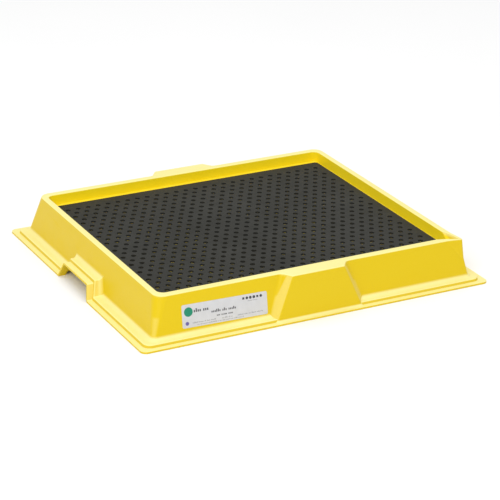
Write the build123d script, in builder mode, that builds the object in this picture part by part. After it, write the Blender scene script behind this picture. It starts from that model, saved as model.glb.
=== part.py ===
from build123d import *
from math import asin, atan2, cos, degrees, hypot, radians, sin, sqrt, tan
import os

# Low spill containment tray with a lift-out perforated grating, in millimetres.
# Frame: +Z up, origin at the middle of the base, X along the long side, front (label side) at -Y.

# Tray, outside: a stepped flange on the floor, a flared wall, and a flat-topped rim
HEIGHT = 76.0
WALL = 3.0                       # moulded sheet thickness
FLANGE_X, FLANGE_Y = 322.0, 277.5   # half sizes of the flange edge
FLANGE_CORNER = 10.0
LIP_WIDTH = 9.5                  # outer, lower band of the flange
LIP_TOP = WALL
STEP_RISE = 5.0                  # from the lip up to the inner band
BAND_TOP = LIP_TOP + STEP_RISE
BAND_CORNER = 14.0
RIM_X, RIM_Y = 281.5, 242.0      # half sizes of the rim's outer edge
RIM_CORNER = 20.0
FOOT_CORNER = 8.0                # the wall's corners get sharper towards the flange
RIM_WIDTH = 10.7
DRAFT = 12.0                     # degrees, outer wall
WALL_FILLET = 9.0                # where the outer wall runs into the flange
RIM_ROUND = 2.5                  # outer edge of the rim
RIM_INNER_ROUND = 2.0
STEP_ROUND = 2.2

# Tray, inside: a short upper wall, a ledge for the grating, and the sump below it
SHEET_TOP = 59.4
SHEET_THICK = 3.2
LEDGE_Z = SHEET_TOP - SHEET_THICK
LEDGE_X, LEDGE_Y = 268.8, 227.5  # half sizes of the upper wall's foot
LEDGE_CORNER = 10.0
LEDGE_FILLET = 2.5
LEDGE_ROUND = 2.0                # where the ledge turns down into the sump
SUMP_X, SUMP_Y = 253.5, 208.0    # half sizes of the sump's mouth
SUMP_CORNER = 16.0
SUMP_DRAFT = 4.0
SUMP_FILLET = 5.0
FLOOR_TOP = 3.5

# Bosses in the middle of the long sides
BOSS_TOP_HALF, BOSS_FOOT_HALF = 47.5, 76.5   # half widths of the front face, at the rim and the foot
BOSS_ROOT_HALF = 60.0            # half width where the boss's top meets the rim
BOSS_TOP_Y, BOSS_FOOT_Y = 259.5, 268.4
BOSS_FOOT_Z = 8.0
BOSS_REACH, BOSS_DEPTH = 110.0, 12.0   # half width of its buried back, and how far that lies inside the rim
BOSS_ROUND = 4.0
BOSS_FOOT_FILLET = 5.0

# Pouring spout at the right front corner
SPOUT_REACH = 27.0               # how far from the corner it starts, along each wall
SPOUT_PULL = 5.0                 # how far its tip stands out from the corner, along X and along Y
SPOUT_DIP = 2.0                  # how far the rim drops to the tip
DIP_REACH = 24.0                 # how far from the corner it starts to drop
SPOUT_LIP = 8.0                  # width of the lip at the tip, along X and along Y
SPOUT_ROUND = 4.0
SPOUT_FOOT_Z = 34.0
THROAT_FOOT_Z = 60.0             # where the groove inside it meets the basin's corner
THROAT_INSET = 2.0

# Raised stretches of flange in the middle of the short sides, with a finger gap under them
GAP_HEIGHT = 25.0
GAP_INSET = 6.0                  # how far the raised edge leans in
GAP_FOOT_HALF = 61.0             # half length of the raised stretch where it leaves the lip
GAP_END_RUN = 12.0               # horizontal run of its sloped ends
BAND_END = 4.0                   # how much longer the raised band is than the raised lip, at each end
FOLD_ROUND = 3.0

# Grating: one perforated sheet with five support blocks welded under it
SHEET_X, SHEET_Y = 264.5, 216.0  # half sizes
SHEET_CORNER = 6.0
PITCH = 19.05                    # 60 degree staggered pattern
HOLE_DIAMETER = 9.2
COLUMNS, ROWS = 27, 24
BLOCK_WIDTH = 46.0
BLOCK_WALL = 3.0
BLOCK_DRAFT = 2.0
BLOCK_CORNER = 4.0
BLOCK_HEIGHT = LEDGE_Z - FLOOR_TOP
DRAIN_WIDTH, DRAIN_HEIGHT = 16.0, 8.0
CROSS_X, CROSS_Y = 130.0, 116.0  # lengths of the middle block's two arms
SIDE_BLOCK_LENGTH = 56.0
SIDE_BLOCK_OUTER_X = 241.5
SIDE_BLOCK_OUTER_Y = 196.0

# Label on the front wall
LABEL_WIDTH, LABEL_HEIGHT, LABEL_THICK = 152.0, 38.0, 0.25
LABEL_CORNER = 3.0
LABEL_X, LABEL_Z = -165.2, 35.5
LABEL_TILT = -1.3

FLARE = tan(radians(DRAFT))
STEP_LEAN = LIP_WIDTH / (GAP_HEIGHT + STEP_RISE)


def plane_through(a, b, c, inside):
    """Plane through three points, its normal pointing away from a point inside."""
    a, b, c = Vector(*a), Vector(*b), Vector(*c)
    normal = (b - a).cross(c - a).normalized()
    if normal.dot(Vector(*inside) - a) > 0:
        normal = normal * -1
    return Plane(origin=a, z_dir=normal)


def cut_block(low, high, planes):
    """A box from its low to its high corner, trimmed by each plane."""
    with BuildPart() as block:
        with Locations(tuple((l + h) / 2 for l, h in zip(low, high))):
            Box(*[h - l for l, h in zip(low, high)])
        for plane in planes:
            split(bisect_by=plane, keep=Keep.BOTTOM)
    return block.part


def corner_waste(half_x, half_y, top, top_radius, low_radius):
    """What the corner at +X +Y loses to a cone that touches both flared walls and narrows downwards."""
    slim = (top_radius - low_radius) / (HEIGHT - BAND_TOP)
    spare = top_radius
    out, up = cos(radians(DRAFT)), sin(radians(DRAFT))

    def ball_centre(drop):
        inset = (top_radius - slim * drop) / out
        return Vector(half_x + FLARE * drop - inset, half_y + FLARE * drop - inset, top - drop)

    high, apex = ball_centre(-spare), ball_centre(top_radius / slim)
    radius, length = top_radius + slim * spare, (apex - high).length
    chord = plane_through(apex, high + Vector(out, 0, up) * radius, high + Vector(0, out, up) * radius,
                          (2 * half_x, 2 * half_y, 0))
    with BuildPart() as waste:
        add(cut_block((half_x - 2 * spare, half_y - 2 * spare, -1), (half_x + 2 * spare, half_y + 2 * spare, top + 1),
                      [chord]))
        with Locations(Plane(origin=high, z_dir=apex - high)):
            Cone(length * tan(asin(radius / length)), 0, length,
                 align=(Align.CENTER, Align.CENTER, Align.MIN), mode=Mode.SUBTRACT)
    return waste.part


def flared_block(half_x, half_y, top, top_radius, low_radius, spout=False):
    """Block with flat flared walls down to the floor and rounded corners, the one at the spout kept sharper."""
    low_x, low_y = half_x + FLARE * top, half_y + FLARE * top
    planes = []
    for side in (-1, 1):
        planes.append(plane_through((side * half_x, -1, top), (side * half_x, 1, top), (side * low_x, 0, 0),
                                    (0, 0, 0)))
        planes.append(plane_through((-1, side * half_y, top), (1, side * half_y, top), (0, side * low_y, 0),
                                    (0, 0, 0)))
    waste = corner_waste(half_x, half_y, top, top_radius, low_radius)
    with BuildPart() as block:
        add(cut_block((-low_x, -low_y, 0), (low_x, low_y, top), planes))
        if spout:
            fillet(block.edges().filter_by(lambda e: spans(e, 0, top) and e.center().X > 0 > e.center().Y),
                   SPOUT_ROUND)
        else:
            add(waste.mirror(Plane.XZ), mode=Mode.SUBTRACT)
        add(waste, mode=Mode.SUBTRACT)
        add(waste.mirror(Plane.YZ), mode=Mode.SUBTRACT)
        add(waste.mirror(Plane.YZ).mirror(Plane.XZ), mode=Mode.SUBTRACT)
    return block.part


def corner_wedge(x, y, tip, foot, low, high):
    """Wedge at the spout's corner. Its flanks run from SPOUT_REACH before the corner (x, -y) to a tip and a foot."""
    start_x, start_y = x - SPOUT_REACH, SPOUT_REACH - y
    inside = (start_x, start_y, foot[2] + 1)
    flanks = [plane_through((x, start_y, HEIGHT), tip, foot, inside),
              plane_through((start_x, -y, HEIGHT), tip, foot, inside)]
    return cut_block((start_x, -y - SPOUT_REACH, low), (x + SPOUT_REACH, start_y, high), flanks)


def spout_beak():
    """The corner, drawn outwards between its foot and the rim, with a round ridge."""
    out = FLARE * (HEIGHT - SPOUT_FOOT_Z)
    tip = (RIM_X + SPOUT_PULL, -RIM_Y - SPOUT_PULL, HEIGHT)
    beak = corner_wedge(RIM_X, RIM_Y, tip, (RIM_X + out, -RIM_Y - out, SPOUT_FOOT_Z), SPOUT_FOOT_Z, HEIGHT)
    ridge = beak.edges().filter_by(lambda e: spans(e, SPOUT_FOOT_Z, HEIGHT)).sort_by(Axis.X)[-1]
    return beak.fillet(SPOUT_ROUND, [ridge])


def spout_dip():
    """What the rim loses where it drops to the spout's tip."""
    tip = (RIM_X + SPOUT_PULL, -RIM_Y - SPOUT_PULL, HEIGHT - SPOUT_DIP)
    slope = plane_through((RIM_X, DIP_REACH - RIM_Y, HEIGHT), (RIM_X - DIP_REACH, -RIM_Y, HEIGHT), tip,
                          (RIM_X, -RIM_Y, HEIGHT + 9))
    reach = SPOUT_REACH + 2
    return cut_block((RIM_X - reach, -RIM_Y - reach, HEIGHT - reach), (RIM_X + reach, reach - RIM_Y, HEIGHT + 1),
                     [slope])


def spout_throat(grow=0.0):
    """The groove that runs up from the basin to the spout's tip."""
    tip_in, foot_in = SPOUT_LIP - SPOUT_PULL - grow, THROAT_INSET - grow
    tip = (RIM_X - tip_in, tip_in - RIM_Y, HEIGHT - 2 * SPOUT_DIP)
    foot = (LEDGE_X - foot_in, foot_in - LEDGE_Y, THROAT_FOOT_Z)
    return corner_wedge(RIM_X - RIM_WIDTH + grow, RIM_Y - RIM_WIDTH + grow, tip, foot, SHEET_TOP - 2 - grow,
                        HEIGHT + 1)


def boss(inset=0.0):
    """Trapezoidal boss on the +Y side. inset thins it on every side but the one at the rim."""
    top, foot, root = BOSS_TOP_HALF - inset, BOSS_FOOT_HALF - inset, BOSS_ROOT_HALF - inset
    top_y, foot_y = BOSS_TOP_Y - inset, BOSS_FOOT_Y - inset
    inside = (0, RIM_Y, BOSS_FOOT_Z)
    planes = [plane_through((-1, top_y, HEIGHT), (1, top_y, HEIGHT), (0, foot_y, BOSS_FOOT_Z), inside)]
    for side in (-1, 1):
        planes.append(plane_through((side * top, top_y, HEIGHT), (side * root, RIM_Y - inset, HEIGHT),
                                    (side * foot, foot_y, BOSS_FOOT_Z), inside))
    bottom = LIP_TOP if inset == 0 else -1
    return cut_block((-BOSS_REACH, RIM_Y - BOSS_DEPTH, bottom), (BOSS_REACH, FLANGE_Y, HEIGHT - inset), planes)


def raised_stretch(foot_x, top_x, foot_half, top_half, bottom, top):
    """Block with sloped ends and a leaning outer face, on the +X side of the tray."""
    root_x = RIM_X - 20
    inside = (root_x + 1, 0, bottom + 1)
    planes = [plane_through((foot_x, -1, bottom), (foot_x, 1, bottom), (top_x, 0, top), inside)]
    for side in (-1, 1):
        planes.append(plane_through((foot_x, side * foot_half, bottom), (root_x, side * foot_half, bottom),
                                    (root_x, side * top_half, top), inside))
    return cut_block((root_x, -foot_half - 1, bottom), (foot_x + 1, foot_half + 1, top), planes)


def outline_gap(point, half_x, half_y, corner):
    """Distance in plan from a point to a rounded rectangle."""
    past_x, past_y = abs(point.X) - (half_x - corner), abs(point.Y) - (half_y - corner)
    if past_x <= 0:
        return abs(past_y - corner)
    if past_y <= 0:
        return abs(past_x - corner)
    return abs(hypot(past_x, past_y) - corner)


def wall_gap(point):
    """Distance from a point to the flared outer wall."""
    grow = (HEIGHT - point.Z) * FLARE
    corner = RIM_CORNER - (RIM_CORNER - FOOT_CORNER) * (HEIGHT - point.Z) / (HEIGHT - BAND_TOP)
    if point.X > 0 > point.Y:
        corner = SPOUT_ROUND
    return outline_gap(point, RIM_X + grow, RIM_Y + grow, corner)


def is_wall_foot(edge):
    """Is this an edge where something runs into the outer wall?"""
    on_wall = all(wall_gap(edge.position_at(k)) < 0.5 for k in (0.05, 0.5, 0.95))
    box = edge.bounding_box()
    corner_line = box.max.Z > HEIGHT - 1 and abs(edge.center().X) > BOSS_REACH
    plain = edge.geom_type in (GeomType.LINE, GeomType.CIRCLE, GeomType.ELLIPSE)
    return on_wall and plain and not corner_line and LIP_TOP + 1 < box.min.Z < HEIGHT - 1


def is_step_top(edge):
    """Is this an edge along the top of the step between the flange's two bands?"""
    point = edge.position_at(0.5)
    back = (point.Z - LIP_TOP) * STEP_LEAN
    on_step = outline_gap(point, band_x - back, band_y - back, BAND_CORNER - min(back, 2)) < 0.3
    end = GAP_FOOT_HALF + BAND_END / 2 - abs(point.Y)
    halfway = LIP_TOP + min(max(end / GAP_END_RUN * GAP_HEIGHT, 0), GAP_HEIGHT) + STEP_RISE / 2
    return on_step and point.Z > halfway and edge.length > BOSS_FOOT_FILLET / 2


def is_fold(edge):
    """Is this an edge across the flange at the foot or the top of a sloped end?"""
    middle, box = edge.position_at(0.5), edge.bounding_box()
    at_end = GAP_FOOT_HALF - GAP_END_RUN - 1 < abs(middle.Y) < GAP_FOOT_HALF + 6 and abs(middle.X) > RIM_X
    level = box.size.Z < 0.1 or edge.geom_type == GeomType.ELLIPSE
    folds = [LIP_TOP, BAND_TOP, LIP_TOP + GAP_HEIGHT, BAND_TOP + GAP_HEIGHT]
    return at_end and level and box.size.X > 0.5 and min(abs(box.min.Z - z) for z in folds) < 0.1


def is_boss_foot(edge):
    """Is this an edge where a boss meets the lip?"""
    middle = edge.center()
    near = abs(middle.X) < BOSS_FOOT_HALF + 8 and RIM_Y < abs(middle.Y) < FLANGE_Y - 2
    return near and spans(edge, LIP_TOP, LIP_TOP)


def is_basin_edge(edge, height, half_x, half_y):
    """Is this an edge of the rounded rectangle of those half sizes, at that height?"""
    middle = edge.position_at(0.5)
    reach = min(half_x - abs(middle.X), half_y - abs(middle.Y))
    return spans(edge, height, height) and -0.1 < reach < 5


def spans(edge, low, high):
    box = edge.bounding_box()
    return abs(box.min.Z - low) < 0.1 and abs(box.max.Z - high) < 0.1


# ---------------------------------------------------------------- tray
band_x, band_y = FLANGE_X - LIP_WIDTH, FLANGE_Y - LIP_WIDTH
raised_lip = raised_stretch(FLANGE_X, FLANGE_X - GAP_INSET, GAP_FOOT_HALF, GAP_FOOT_HALF - GAP_END_RUN,
                            LIP_TOP, LIP_TOP + GAP_HEIGHT)
band_foot = GAP_FOOT_HALF + BAND_END
band_run = GAP_END_RUN * (GAP_HEIGHT + STEP_RISE) / GAP_HEIGHT
raised_band = raised_stretch(band_x, band_x - LIP_WIDTH, band_foot, band_foot - band_run,
                             LIP_TOP, BAND_TOP + GAP_HEIGHT)
step_taper = degrees(atan2(STEP_LEAN, 1))

with BuildPart() as shell:
    with BuildSketch():
        RectangleRounded(2 * FLANGE_X, 2 * FLANGE_Y, FLANGE_CORNER)
    extrude(amount=LIP_TOP)
    with BuildSketch(Plane.XY.offset(LIP_TOP)):
        RectangleRounded(2 * band_x, 2 * band_y, BAND_CORNER)
    extrude(amount=STEP_RISE, taper=step_taper)
    add(flared_block(RIM_X, RIM_Y, HEIGHT, RIM_CORNER, FOOT_CORNER, spout=True))
    for stretch in (raised_lip, raised_band):
        add(stretch)
        add(stretch.mirror(Plane.YZ))
    add(boss())
    add(boss().mirror(Plane.XZ))
    fillet(shell.edges().filter_by(is_wall_foot), WALL_FILLET)
    fillet(shell.edges().filter_by(lambda e: spans(e, LIP_TOP, HEIGHT)), BOSS_ROUND)
    add(spout_beak())
    fillet(shell.edges().filter_by(lambda e: spans(e, HEIGHT, HEIGHT)), RIM_ROUND)
    fillet(shell.edges().filter_by(is_boss_foot), BOSS_FOOT_FILLET)
    fillet(shell.edges().filter_by(is_fold), FOLD_ROUND)
    fillet(shell.edges().filter_by(is_step_top), STEP_ROUND)

# The hollow between the outer walls and the basin, open downwards.
lean = hypot(GAP_END_RUN, GAP_HEIGHT) / GAP_HEIGHT
gap_foot = GAP_FOOT_HALF + LIP_TOP * GAP_END_RUN / GAP_HEIGHT - WALL * lean
finger_gap = raised_stretch(FLANGE_X + 5, FLANGE_X + 5, gap_foot, gap_foot - GAP_END_RUN, 0, GAP_HEIGHT)
band_gap = raised_stretch(band_x - WALL, band_x - LIP_WIDTH - WALL, gap_foot + BAND_END,
                          gap_foot + BAND_END - band_run, 0, GAP_HEIGHT + STEP_RISE)
with BuildPart() as hollow:
    with BuildSketch():
        RectangleRounded(2 * (band_x - WALL), 2 * (band_y - WALL), BAND_CORNER - WALL)
    extrude(amount=BAND_TOP - WALL, taper=step_taper)
    grow = WALL * FLARE - WALL / cos(radians(DRAFT))
    add(flared_block(RIM_X + grow, RIM_Y + grow, HEIGHT - WALL, RIM_CORNER - WALL, FOOT_CORNER - WALL))
    for space in (finger_gap, band_gap):
        add(space)
        add(space.mirror(Plane.YZ))
    add(boss(WALL))
    add(boss(WALL).mirror(Plane.XZ))
    with BuildSketch(Plane.XY.offset(LEDGE_Z - WALL)):
        RectangleRounded(2 * (LEDGE_X + WALL), 2 * (LEDGE_Y + WALL), LEDGE_CORNER + WALL)
    extrude(amount=HEIGHT, mode=Mode.SUBTRACT)
    with BuildSketch(Plane.XY.offset(LEDGE_Z)):
        RectangleRounded(2 * (SUMP_X + WALL), 2 * (SUMP_Y + WALL), SUMP_CORNER + WALL)
    extrude(amount=-HEIGHT, taper=SUMP_DRAFT, mode=Mode.SUBTRACT)
    add(spout_throat(WALL), mode=Mode.SUBTRACT)

with BuildPart() as tray:
    add(shell)
    add(hollow, mode=Mode.SUBTRACT)
    with BuildSketch(Plane.XY.offset(LEDGE_Z)):
        RectangleRounded(2 * LEDGE_X, 2 * LEDGE_Y, LEDGE_CORNER)
    upper_draft = degrees(atan2(RIM_X - RIM_WIDTH - LEDGE_X, HEIGHT - LEDGE_Z))
    extrude(amount=HEIGHT - LEDGE_Z, taper=-upper_draft, mode=Mode.SUBTRACT)
    with BuildSketch(Plane.XY.offset(LEDGE_Z)):
        RectangleRounded(2 * SUMP_X, 2 * SUMP_Y, SUMP_CORNER)
    extrude(amount=FLOOR_TOP - LEDGE_Z, taper=SUMP_DRAFT, mode=Mode.SUBTRACT)
    sump_in = (LEDGE_Z - FLOOR_TOP) * tan(radians(SUMP_DRAFT))
    rim_in = RIM_X - RIM_WIDTH - LEDGE_X
    for height, half_x, half_y, radius in (
            (HEIGHT, LEDGE_X + rim_in, LEDGE_Y + rim_in, RIM_INNER_ROUND),
            (LEDGE_Z, LEDGE_X, LEDGE_Y, LEDGE_FILLET),
            (LEDGE_Z, SUMP_X, SUMP_Y, LEDGE_ROUND),
            (FLOOR_TOP, SUMP_X - sump_in, SUMP_Y - sump_in, SUMP_FILLET)):
        fillet(tray.edges().filter_by(lambda e: is_basin_edge(e, height, half_x, half_y)), radius)
    add(spout_dip(), mode=Mode.SUBTRACT)
    add(spout_throat(), mode=Mode.SUBTRACT)
tray.part.label = "tray"

# ---------------------------------------------------------------- grating
row_pitch = PITCH * sqrt(3) / 2
with BuildPart() as grating_sheet:
    with BuildSketch(Plane.XY.offset(LEDGE_Z)):
        RectangleRounded(2 * SHEET_X, 2 * SHEET_Y, SHEET_CORNER)
        with Locations((0, row_pitch / 2)):
            with GridLocations(PITCH, 2 * row_pitch, COLUMNS, ROWS // 2):
                Circle(HOLE_DIAMETER / 2, mode=Mode.SUBTRACT)
        with Locations((0, -row_pitch / 2)):
            with GridLocations(PITCH, 2 * row_pitch, COLUMNS - 1, ROWS // 2):
                Circle(HOLE_DIAMETER / 2, mode=Mode.SUBTRACT)
    extrude(amount=SHEET_THICK)
grating_sheet.part.label = "grating_sheet"


def arms(length_x, length_y, shrink=0.0):
    """Outline of a block: one arm, or two that cross."""
    with BuildSketch(mode=Mode.PRIVATE) as outline:
        if length_x:
            Rectangle(length_x - 2 * shrink, BLOCK_WIDTH - 2 * shrink)
        if length_y:
            Rectangle(BLOCK_WIDTH - 2 * shrink, length_y - 2 * shrink)
        fillet(outline.vertices(), BLOCK_CORNER)
    return outline.sketch


def support_block(length_x, length_y, x=0.0, y=0.0):
    """An upturned cup that stands on the floor, with a drain notch in the foot of each side."""
    with BuildPart() as block:
        with BuildSketch(Plane((x, y, FLOOR_TOP))):
            add(arms(length_x, length_y))
        extrude(amount=BLOCK_HEIGHT, taper=BLOCK_DRAFT)
        with BuildSketch(Plane((x, y, FLOOR_TOP))):
            add(arms(length_x, length_y, BLOCK_WALL))
        extrude(amount=BLOCK_HEIGHT - BLOCK_WALL, taper=BLOCK_DRAFT, mode=Mode.SUBTRACT)
        with BuildSketch(Plane((x, y, FLOOR_TOP))):
            Rectangle(2 * CROSS_X, DRAIN_WIDTH)
            Rectangle(DRAIN_WIDTH, 2 * CROSS_X)
        extrude(amount=DRAIN_HEIGHT, mode=Mode.SUBTRACT)
    return block.part


side_x = SIDE_BLOCK_OUTER_X - SIDE_BLOCK_LENGTH / 2
side_y = SIDE_BLOCK_OUTER_Y - SIDE_BLOCK_LENGTH / 2
centre_support = support_block(CROSS_X, CROSS_Y)
right_support = support_block(SIDE_BLOCK_LENGTH, 0, x=side_x)
left_support = support_block(SIDE_BLOCK_LENGTH, 0, x=-side_x)
back_support = support_block(0, SIDE_BLOCK_LENGTH, y=side_y)
front_support = support_block(0, SIDE_BLOCK_LENGTH, y=-side_y)
centre_support.label = "centre_support"
right_support.label = "right_support"
left_support.label = "left_support"
back_support.label = "back_support"
front_support.label = "front_support"

# ---------------------------------------------------------------- label
label_plane = Plane(origin=(LABEL_X, -(RIM_Y + (HEIGHT - LABEL_Z) * FLARE), LABEL_Z),
                    x_dir=(1, 0, 0), z_dir=(0, -1, FLARE))
with BuildPart() as label:
    with BuildSketch(label_plane):
        RectangleRounded(LABEL_WIDTH, LABEL_HEIGHT, LABEL_CORNER, rotation=LABEL_TILT)
    extrude(amount=LABEL_THICK)
    add(tray, mode=Mode.SUBTRACT)
label.part.label = "label"

os.makedirs("parts", exist_ok=True)
export_step(tray.part, "parts/tray.step")
export_step(label.part, "parts/label.step")
export_step(grating_sheet.part, "parts/grating_sheet.step")
export_step(centre_support, "parts/centre_support.step")
export_step(right_support, "parts/right_support.step")
export_step(left_support, "parts/left_support.step")
export_step(back_support, "parts/back_support.step")
export_step(front_support, "parts/front_support.step")
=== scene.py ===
import math
import random

import bmesh
import bpy
from mathutils import Matrix, Vector


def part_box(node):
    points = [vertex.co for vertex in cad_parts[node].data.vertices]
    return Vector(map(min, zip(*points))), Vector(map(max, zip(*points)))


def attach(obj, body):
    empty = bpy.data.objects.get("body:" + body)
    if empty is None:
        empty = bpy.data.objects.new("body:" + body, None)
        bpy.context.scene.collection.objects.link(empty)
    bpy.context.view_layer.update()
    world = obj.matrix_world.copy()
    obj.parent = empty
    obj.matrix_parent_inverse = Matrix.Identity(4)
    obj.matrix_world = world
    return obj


# Spill containment pallet: a yellow moulded tray, a black lift-out perforated grating and a label.
# The CAD nodes keep their shapes. This script gives them their materials, prints the label with
# generic marks, and sets up the floor, the light and the camera. Lengths are in metres.

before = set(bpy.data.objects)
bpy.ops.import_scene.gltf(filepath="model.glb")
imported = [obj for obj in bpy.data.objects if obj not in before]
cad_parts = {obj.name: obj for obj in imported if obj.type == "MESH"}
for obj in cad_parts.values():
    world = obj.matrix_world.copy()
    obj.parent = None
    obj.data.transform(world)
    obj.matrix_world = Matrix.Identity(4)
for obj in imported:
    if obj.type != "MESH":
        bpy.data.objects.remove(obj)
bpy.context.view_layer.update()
scene = bpy.context.scene

LABEL_LOW, LABEL_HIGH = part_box("label")


# ---------------------------------------------------------------- camera
CAMERA_AT = Vector((-1.532, -2.882, 1.398))
CAMERA_AZIMUTH = math.radians(-28.18)
CAMERA_ELEVATION = math.radians(23.0)
CAMERA_ROLL = math.radians(1.13)
CAMERA_LENS = 147.6         # mm, on a sensor 36 mm wide
CAMERA_SENSOR = 36.0


def make_camera():
    data = bpy.data.cameras.new("camera")
    data.lens = CAMERA_LENS
    data.sensor_width = CAMERA_SENSOR
    data.clip_start = 0.05
    data.clip_end = 200.0
    cam = bpy.data.objects.new("camera", data)
    scene.collection.objects.link(cam)
    az, el, roll = CAMERA_AZIMUTH, CAMERA_ELEVATION, CAMERA_ROLL
    ahead = Vector((-math.sin(az) * math.cos(el), math.cos(az) * math.cos(el), -math.sin(el)))
    right = Vector((math.cos(az), math.sin(az), 0.0))
    up = right.cross(ahead)
    rolled_right = right * math.cos(roll) + up * math.sin(roll)
    rolled_up = up * math.cos(roll) - right * math.sin(roll)
    axes = Matrix((rolled_right, rolled_up, -ahead)).transposed()
    cam.matrix_world = Matrix.Translation(CAMERA_AT) @ axes.to_4x4()
    scene.camera = cam


make_camera()


# ---------------------------------------------------------------- shader helpers
# Each pair is where a mask starts and where it is complete, over a blend of a few mm.
RIM_INSIDE_X = (0.2715, 0.2735)
RIM_INSIDE_Y = (0.2320, 0.2340)
RIM_OUTSIDE_X = (0.2900, 0.2920)
RIM_OUTSIDE_Y = (0.2500, 0.2520)
RIM_TOP = (0.0715, 0.0750)
LOW_DOWN = (0.044, 0.040)


class Shader:
    """A Principled material that is built up node by node."""

    def __init__(self, name, **values):
        self.material = bpy.data.materials.new(name)
        self.material.use_nodes = True
        self.tree = self.material.node_tree
        self.bsdf = self.tree.nodes["Principled BSDF"]
        self.object_place = self.add("ShaderNodeTexCoord").outputs["Object"]
        for socket, value in values.items():
            self.bsdf.inputs[socket.replace("_", " ")].default_value = value

    def add(self, kind, settings=None, **inputs):
        """A node with its settings and inputs. An input called i0, i1 and so on is taken by its number."""
        made = self.tree.nodes.new(kind)
        for key, value in (settings or {}).items():
            setattr(made, key, value)
        for key, value in inputs.items():
            by_number = key[0] == "i" and key[1:].isdigit()
            self.feed(made.inputs[int(key[1:]) if by_number else key], value)
        return made

    def feed(self, socket, value):
        if isinstance(value, bpy.types.NodeSocket):
            self.tree.links.new(value, socket)
        else:
            socket.default_value = value

    def link(self, output, name):
        self.tree.links.new(output, self.bsdf.inputs[name])

    def stretched(self, scale, turn=0.0):
        mapping = self.add("ShaderNodeMapping", Vector=self.object_place)
        mapping.inputs["Scale"].default_value = scale
        mapping.inputs["Rotation"].default_value = (0.0, 0.0, turn)
        return mapping.outputs["Vector"]

    def noise(self, scale, detail=2.0, roughness=0.5, place=None):
        made = self.add("ShaderNodeTexNoise", Scale=scale, Detail=detail, Roughness=roughness,
                        Vector=place or self.object_place)
        return made.outputs["Fac"]

    def band(self, value, low, high, to_low=0.0, to_high=1.0):
        """value from low to high becomes to_low to to_high, and is held beyond them."""
        made = self.add("ShaderNodeMapRange", Value=value)
        limits = {"From Min": low, "From Max": high, "To Min": to_low, "To Max": to_high}
        for socket, number in limits.items():
            made.inputs[socket].default_value = number
        return made.outputs["Result"]

    def math(self, operation, a, b):
        return self.add("ShaderNodeMath", {"operation": operation}, i0=a, i1=b).outputs[0]

    def mix(self, factor, a, b):
        """Colour a, turning to b as factor goes from 0 to 1."""
        made = self.add("ShaderNodeMix", {"data_type": "RGBA"}, Factor=factor, i6=a, i7=b)
        return made.outputs[2]

    def bump(self, height, distance, strength, after=None):
        made = self.add("ShaderNodeBump", Strength=strength, Distance=distance, Height=height)
        if after:
            self.tree.links.new(after, made.inputs["Normal"])
        return made.outputs["Normal"]

    def edges(self, radius):
        """1 where the surface bends sharply within radius, 0 on flats."""
        rounded = self.add("ShaderNodeBevel", {"samples": 6}, Radius=radius).outputs["Normal"]
        plain = self.add("ShaderNodeNewGeometry").outputs["Normal"]
        dot = self.add("ShaderNodeVectorMath", {"operation": "DOT_PRODUCT"}, i0=rounded, i1=plain)
        return self.band(dot.outputs["Value"], 0.999, 0.93)

    def facing_up(self, low, high):
        """0 on surfaces whose normal rises by less than low, 1 from high upwards."""
        normal = self.add("ShaderNodeNewGeometry").outputs["Normal"]
        return self.band(self.add("ShaderNodeSeparateXYZ", Vector=normal).outputs["Z"], low, high)

    def place(self):
        return self.add("ShaderNodeSeparateXYZ", Vector=self.object_place).outputs

    def beyond(self, limits_x, limits_y):
        """1 beyond a rectangle round the origin, 0 inside it."""
        place = self.place()
        along = self.band(self.math("ABSOLUTE", place["X"], 0.0), *limits_x)
        across = self.band(self.math("ABSOLUTE", place["Y"], 0.0), *limits_y)
        return self.math("MAXIMUM", along, across)

    def outside(self):
        """1 beyond the rim's inner edge, 0 inside the basin."""
        return self.beyond(RIM_INSIDE_X, RIM_INSIDE_Y)

    def clear_of_basin(self):
        """0 all over the basin and in the spout's groove, 1 on the rim, the bosses and the flange."""
        height = self.place()["Z"]
        low_outside = self.math("MINIMUM", self.band(height, *LOW_DOWN), self.outside())
        rim_or_low = self.math("MAXIMUM", self.band(height, *RIM_TOP), low_outside)
        return self.math("MAXIMUM", rim_or_low, self.beyond(RIM_OUTSIDE_X, RIM_OUTSIDE_Y))

    def crease(self, reach):
        """1 deep in a crease, 0 in the open, from ambient occlusion. It is used to paint shade into
        creases.
        """
        shade = self.add("ShaderNodeAmbientOcclusion", {"samples": 6}, Distance=reach)
        return self.band(shade.outputs["AO"], 0.85, 0.25)


def paint(node, shader):
    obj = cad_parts[node]
    obj.data.materials.clear()
    obj.data.materials.append(shader.material)


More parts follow.
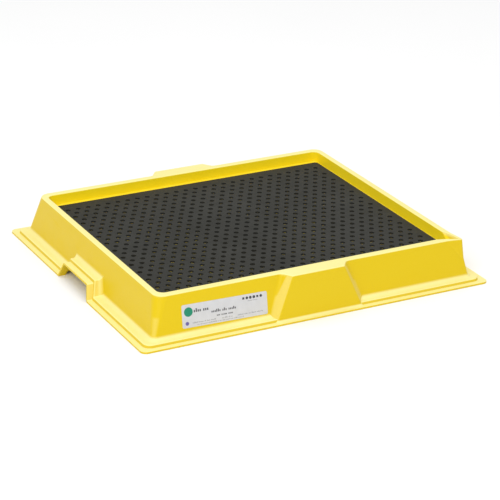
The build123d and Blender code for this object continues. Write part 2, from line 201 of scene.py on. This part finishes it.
# ---------------------------------------------------------------- materials
def tray_plastic():
    """Moulded lemon yellow plastic: satin and slightly mottled, with orange peel and fine scuffs.

    Its upper faces are painted lighter, a painted highlight, and its outer walls darker, a painted shade.
    That matches the photo under this scene's plain light. It isn't wear or fading seen on the object.
    Its creases are painted darker, a painted shade; its edges lighter, part polished wear and part painted
    highlight."""
    s = Shader("tray_polyethylene", Roughness=0.36, Specular_IOR_Level=0.22, Sheen_Weight=0.03,
               Sheen_Roughness=0.5)
    yellow, deep, pale = (0.985, 0.760, 0.0080, 1), (0.960, 0.700, 0.0060, 1), (0.990, 0.800, 0.025, 1)
    # The first colour below is painted shade for the outer walls, the second a painted highlight for upward
    # faces.
    outer_wall_painted_shade, upward_painted_highlight = (0.715, 0.508, 0.0030, 1), (0.960, 0.870, 0.370, 1)
    # Below: painted shade for creases, a lighter yellow for edges that is part wear and part painted
    # highlight, and dirt specks.
    crease_painted_shade, edge_wear_and_highlight, speck = (0.780, 0.520, 0.012, 1), (0.980, 0.880, 0.250, 1), (0.350, 0.240, 0.020, 1)
    clouds = s.band(s.noise(7.0, 3.0), 0.35, 0.7)
    flow = s.band(s.noise(1.0, 4.0, 0.6, s.stretched((26.0, 26.0, 90.0))), 0.42, 0.72)
    colour = s.mix(s.math("MULTIPLY", clouds, 0.45), yellow, deep)
    colour = s.mix(s.math("MULTIPLY", flow, 0.35), colour, pale)
    # Painted shade: the outer walls are made darker than the basin.
    colour = s.mix(s.math("MULTIPLY", s.outside(), 0.85), colour, outer_wall_painted_shade)
    # Painted highlight: upward faces of the rim, bosses and flange are made lighter.
    upward_highlight_mask = s.math("MULTIPLY", s.facing_up(0.27, 0.62), s.band(clouds, 0.0, 1.0, 0.92, 0.78))
    colour = s.mix(s.math("MULTIPLY", upward_highlight_mask, s.clear_of_basin()), colour, upward_painted_highlight)
    # Painted shade: creases found by ambient occlusion are made darker.
    colour = s.mix(s.math("MULTIPLY", s.crease(0.006), 0.30), colour, crease_painted_shade)
    # Edges are made lighter: part polished wear, part painted highlight.
    colour = s.mix(s.math("MULTIPLY", s.edges(0.0012), 0.30), colour, edge_wear_and_highlight)
    specks = s.band(s.noise(900.0, 1.0), 0.72, 0.78)
    colour = s.mix(s.math("MULTIPLY", specks, 0.30), colour, speck)
    s.link(colour, "Base Color")
    lengthwise = s.band(s.noise(1.0, 2.0, 0.5, s.stretched((8.0, 600.0, 60.0), 0.5)), 0.68, 0.74)
    crosswise = s.band(s.noise(1.0, 2.0, 0.5, s.stretched((500.0, 9.0, 60.0), -0.3)), 0.69, 0.75)
    scuffs = s.math("MAXIMUM", lengthwise, crosswise)
    rough = s.band(s.noise(40.0, 4.0, 0.6), 0.3, 0.7, 0.30, 0.42)
    s.link(s.math("ADD", rough, s.math("MULTIPLY", scuffs, 0.14)), "Roughness")
    peel = s.bump(s.noise(420.0, 2.0), 0.00006, 0.6)
    waves = s.bump(s.noise(28.0, 2.0), 0.0010, 0.25, after=peel)
    s.link(s.bump(scuffs, 0.00004, 0.5, after=waves), "Normal")
    return s


def grating_plastic():
    """Smooth black sheet with a low sheen, a few faint rubbed patches and lines, a little dust, and edges
    painted lighter as a painted highlight.
    """
    s = Shader("grating_sheet_plastic", Roughness=0.55, Specular_IOR_Level=0.10)
    black, worn = (0.0290, 0.0290, 0.0250, 1), (0.0420, 0.0420, 0.0370, 1)
    rubbed = s.band(s.noise(9.0, 5.0, 0.65), 0.35, 0.80)
    colour = s.mix(rubbed, black, worn)
    dust = s.band(s.noise(1600.0, 2.0), 0.66, 0.74)
    colour = s.mix(s.math("MULTIPLY", dust, 0.25), colour, (0.100, 0.098, 0.088, 1))
    # Painted highlight: edges, the rims of the holes among them, are made lighter as glints.
    colour = s.mix(s.math("MULTIPLY", s.edges(0.0005), 0.5), colour, (0.110, 0.108, 0.096, 1))
    s.link(colour, "Base Color")
    lengthwise = s.band(s.noise(1.0, 3.0, 0.6, s.stretched((30.0, 1200.0, 30.0), 0.2)), 0.62, 0.72)
    crosswise = s.band(s.noise(1.0, 3.0, 0.6, s.stretched((900.0, 25.0, 30.0), -0.45)), 0.64, 0.74)
    lines = s.math("MAXIMUM", lengthwise, crosswise)
    rough = s.band(s.noise(60.0, 4.0), 0.3, 0.7, 0.52, 0.62)
    s.link(s.math("ADD", rough, s.math("MULTIPLY", lines, 0.08)), "Roughness")
    grain = s.bump(s.noise(2200.0, 2.0), 0.00002, 0.5)
    s.link(s.bump(lines, 0.00002, 0.4, after=grain), "Normal")
    return s


def support_plastic():
    """Matt black moulding with a fine grain."""
    s = Shader("support_plastic", Roughness=0.6, Specular_IOR_Level=0.3)
    black, lighter = (0.0120, 0.0118, 0.0112, 1), (0.0220, 0.0215, 0.0205, 1)
    colour = s.mix(s.band(s.noise(25.0, 3.0), 0.35, 0.7), black, lighter)
    colour = s.mix(s.math("MULTIPLY", s.edges(0.0008), 0.5), colour, (0.050, 0.049, 0.046, 1))
    s.link(colour, "Base Color")
    s.link(s.band(s.noise(300.0, 3.0), 0.3, 0.7, 0.52, 0.70), "Roughness")
    s.link(s.bump(s.noise(1500.0, 2.0), 0.00005, 0.7), "Normal")
    return s


def label_film():
    """Light grey film, with a faint grain and a slightly soiled edge."""
    s = Shader("label_film", Roughness=0.4, Specular_IOR_Level=0.35)
    grey, darker = (0.640, 0.640, 0.660, 1), (0.590, 0.590, 0.605, 1)
    colour = s.mix(s.band(s.noise(60.0, 4.0), 0.35, 0.7), grey, darker)
    colour = s.mix(s.math("MULTIPLY", s.edges(0.0006), 0.6), colour, (0.500, 0.470, 0.380, 1))
    s.link(colour, "Base Color")
    s.link(s.band(s.noise(90.0, 3.0), 0.3, 0.7, 0.34, 0.46), "Roughness")
    s.link(s.bump(s.noise(500.0, 2.0), 0.00002, 0.5), "Normal")
    return s


def ink(name, dark, light):
    """Printing ink that is a little uneven."""
    s = Shader(name, Roughness=0.45, Specular_IOR_Level=0.3)
    s.link(s.mix(s.band(s.noise(900.0, 3.0), 0.3, 0.7), dark, light), "Base Color")
    s.link(s.band(s.noise(400.0, 2.0), 0.3, 0.7, 0.38, 0.52), "Roughness")
    return s


paint("tray", tray_plastic())
paint("grating_sheet", grating_plastic())
SUPPORT = support_plastic()
for name in ("centre_support", "front_support", "back_support", "left_support", "right_support"):
    paint(name, SUPPORT)
paint("label", label_film())


# ---------------------------------------------------------------- label print
WALL_LEAN = math.radians(12.0)
LABEL_TILT = math.radians(-1.3)
LABEL_THICK = 0.00025
INK_THICK = 0.00006
MM = 1000               # the print is laid out in mm from the label's middle


def label_frame():
    """Matrix whose XY plane is the label's front face, X along the label and Z out of the wall."""
    out = Vector((0.0, -math.cos(WALL_LEAN), math.sin(WALL_LEAN)))
    along = Matrix.Rotation(LABEL_TILT, 3, out) @ Vector((1.0, 0.0, 0.0))
    up = out.cross(along)
    middle = (LABEL_LOW + LABEL_HIGH) / 2
    at = Matrix((along, up, out)).transposed().to_4x4()
    at.translation = middle + out * (LABEL_THICK / 2)
    return at


def slab(bm, outline, thick):
    """A thin closed plate from its outline, counter-clockwise."""
    low = [bm.verts.new((x, y, 0.0)) for x, y in outline]
    high = [bm.verts.new((x, y, thick)) for x, y in outline]
    bm.faces.new(high)
    bm.faces.new(list(reversed(low)))
    for k in range(len(outline)):
        j = (k + 1) % len(outline)
        bm.faces.new((low[k], low[j], high[j], high[k]))


def bar(x, y, width, height):
    """Outline of a rectangle from its lower left corner."""
    return [(x, y), (x + width, y), (x + width, y + height), (x, y + height)]


def disc(x, y, radius, sides, start=0.0):
    """Outline of a regular polygon, or of a disc when it has many sides."""
    turns = [start + 2 * math.pi * k / sides for k in range(sides)]
    return [(x + radius * math.cos(turn), y + radius * math.sin(turn)) for turn in turns]


LETTERS_IN_WORD = (2, 7)
LETTER_TALLNESS = (0.62, 0.62, 0.62, 1.0)   # heights to draw from, as shares of the line's height
LETTER_FILL = 0.62                          # width of a bar, as a share of the space for a letter
WORD_GAP = 0.9                              # extra space after a word, in letters


def words(draw, x, y, length, height, letter):
    """A run of small bars that reads as a line of small print, with no letters in it."""
    made, end = [], x + length
    while x < end - letter:
        for _ in range(draw.randint(*LETTERS_IN_WORD)):
            if x >= end - letter:
                break
            tall = height * draw.choice(LETTER_TALLNESS)
            made.append(bar(x, y, letter * LETTER_FILL, tall))
            x += letter
        x += letter * WORD_GAP
    return made


def print_piece(name, outlines, shader):
    bm = bmesh.new()
    for outline in outlines:
        slab(bm, [(x / MM, y / MM) for x, y in outline], INK_THICK)
    mesh = bpy.data.meshes.new(name)
    bm.to_mesh(mesh)
    bm.free()
    obj = bpy.data.objects.new(name, mesh)
    scene.collection.objects.link(obj)
    obj.matrix_world = LABEL_AT
    mesh.materials.append(shader.material)
    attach(obj, "tray")


LABEL_AT = label_frame()
ICON_TURN = 0.785       # an eighth of a turn, so that the four-sided dots stand square
draw = random.Random(7)
DARK_INK = ink("ink_dark", (0.045, 0.045, 0.050, 1), (0.080, 0.080, 0.085, 1))
PALE_INK = ink("ink_pale_grey", (0.260, 0.260, 0.265, 1), (0.340, 0.340, 0.345, 1))
GREEN_INK = ink("ink_green", (0.010, 0.200, 0.110, 1), (0.020, 0.290, 0.170, 1))
VIOLET_INK = ink("ink_violet", (0.110, 0.090, 0.300, 1), (0.170, 0.140, 0.380, 1))

print_piece("label_green_mark", [disc(-64.5, 6.6, 7.6, 40)], GREEN_INK)
print_piece("label_blue_mark", [disc(-67.5, -12.0, 3.1, 24)], VIOLET_INK)
heading = words(draw, -55.0, 4.6, 27.0, 6.0, 3.4) + words(draw, -24.0, -0.8, 46.0, 4.6, 2.8)
heading += words(draw, -15.0, -7.6, 31.0, 3.3, 2.1)
icons = [disc(33.5 + 6.3 * k, 13.0, 2.5, 4 + 2 * (k % 4), ICON_TURN) for k in range(6)]
print_piece("label_dark_print", heading + icons, DARK_INK)
small = words(draw, -58.0, -13.0, 44.0, 2.0, 1.5) + words(draw, -6.0, -13.0, 20.0, 2.0, 1.5)
small += words(draw, 22.0, -13.0, 47.0, 2.0, 1.5) + words(draw, -50.0, -16.6, 84.0, 1.6, 1.3)
small += words(draw, 41.0, 7.4, 20.0, 1.6, 1.2)
print_piece("label_small_print", small, PALE_INK)


# ---------------------------------------------------------------- floor and light
FLOOR_HALF = 30.0
FLOOR_DROP = 0.0002     # the floor lies just under the part, so that the two don't flicker together
SKY_STRENGTH = 0.62


def make_floor():
    mesh = bpy.data.meshes.new("floor")
    corners = [(x, y, 0) for x, y in bar(-FLOOR_HALF, -FLOOR_HALF, 2 * FLOOR_HALF, 2 * FLOOR_HALF)]
    mesh.from_pydata(corners, [], [(0, 1, 2, 3)])
    floor = bpy.data.objects.new("floor", mesh)
    scene.collection.objects.link(floor)
    s = Shader("floor_paint", Roughness=0.9, Specular_IOR_Level=0.0)
    s.link(s.mix(s.noise(3.0, 2.0), (0.93, 0.93, 0.93, 1), (0.95, 0.95, 0.95, 1)), "Base Color")
    mesh.materials.append(s.material)
    floor.location.z = -FLOOR_DROP


def softbox(name, at, aim, width, height, watts):
    """A white rectangular light at one place, turned to face another."""
    data = bpy.data.lights.new(name, "AREA")
    data.shape = "RECTANGLE"
    data.size, data.size_y = width, height
    data.energy = watts
    lamp = bpy.data.objects.new(name, data)
    scene.collection.objects.link(lamp)
    lamp.location = at
    lamp.rotation_mode = "QUATERNION"
    lamp.rotation_quaternion = (Vector(aim) - Vector(at)).to_track_quat("-Z", "Y")


def make_light():
    world = bpy.data.worlds.new("studio")
    world.use_nodes = True
    sky = world.node_tree.nodes["Background"]
    sky.inputs["Color"].default_value = (1.0, 1.0, 1.0, 1)
    sky.inputs["Strength"].default_value = SKY_STRENGTH
    scene.world = world
    middle = (0.0, 0.0, 0.04)
    softbox("softbox_top", (0.3, 0.4, 4.0), middle, 4.0, 4.0, 70.0)
    softbox("softbox_front", (-2.6, -3.0, 3.0), middle, 3.0, 2.4, 95.0)


make_floor()
make_light()
scene.view_settings.view_transform = "Standard"
scene.view_settings.look = "None"
scene.view_settings.exposure = 0.0
scene.view_settings.gamma = 1.0
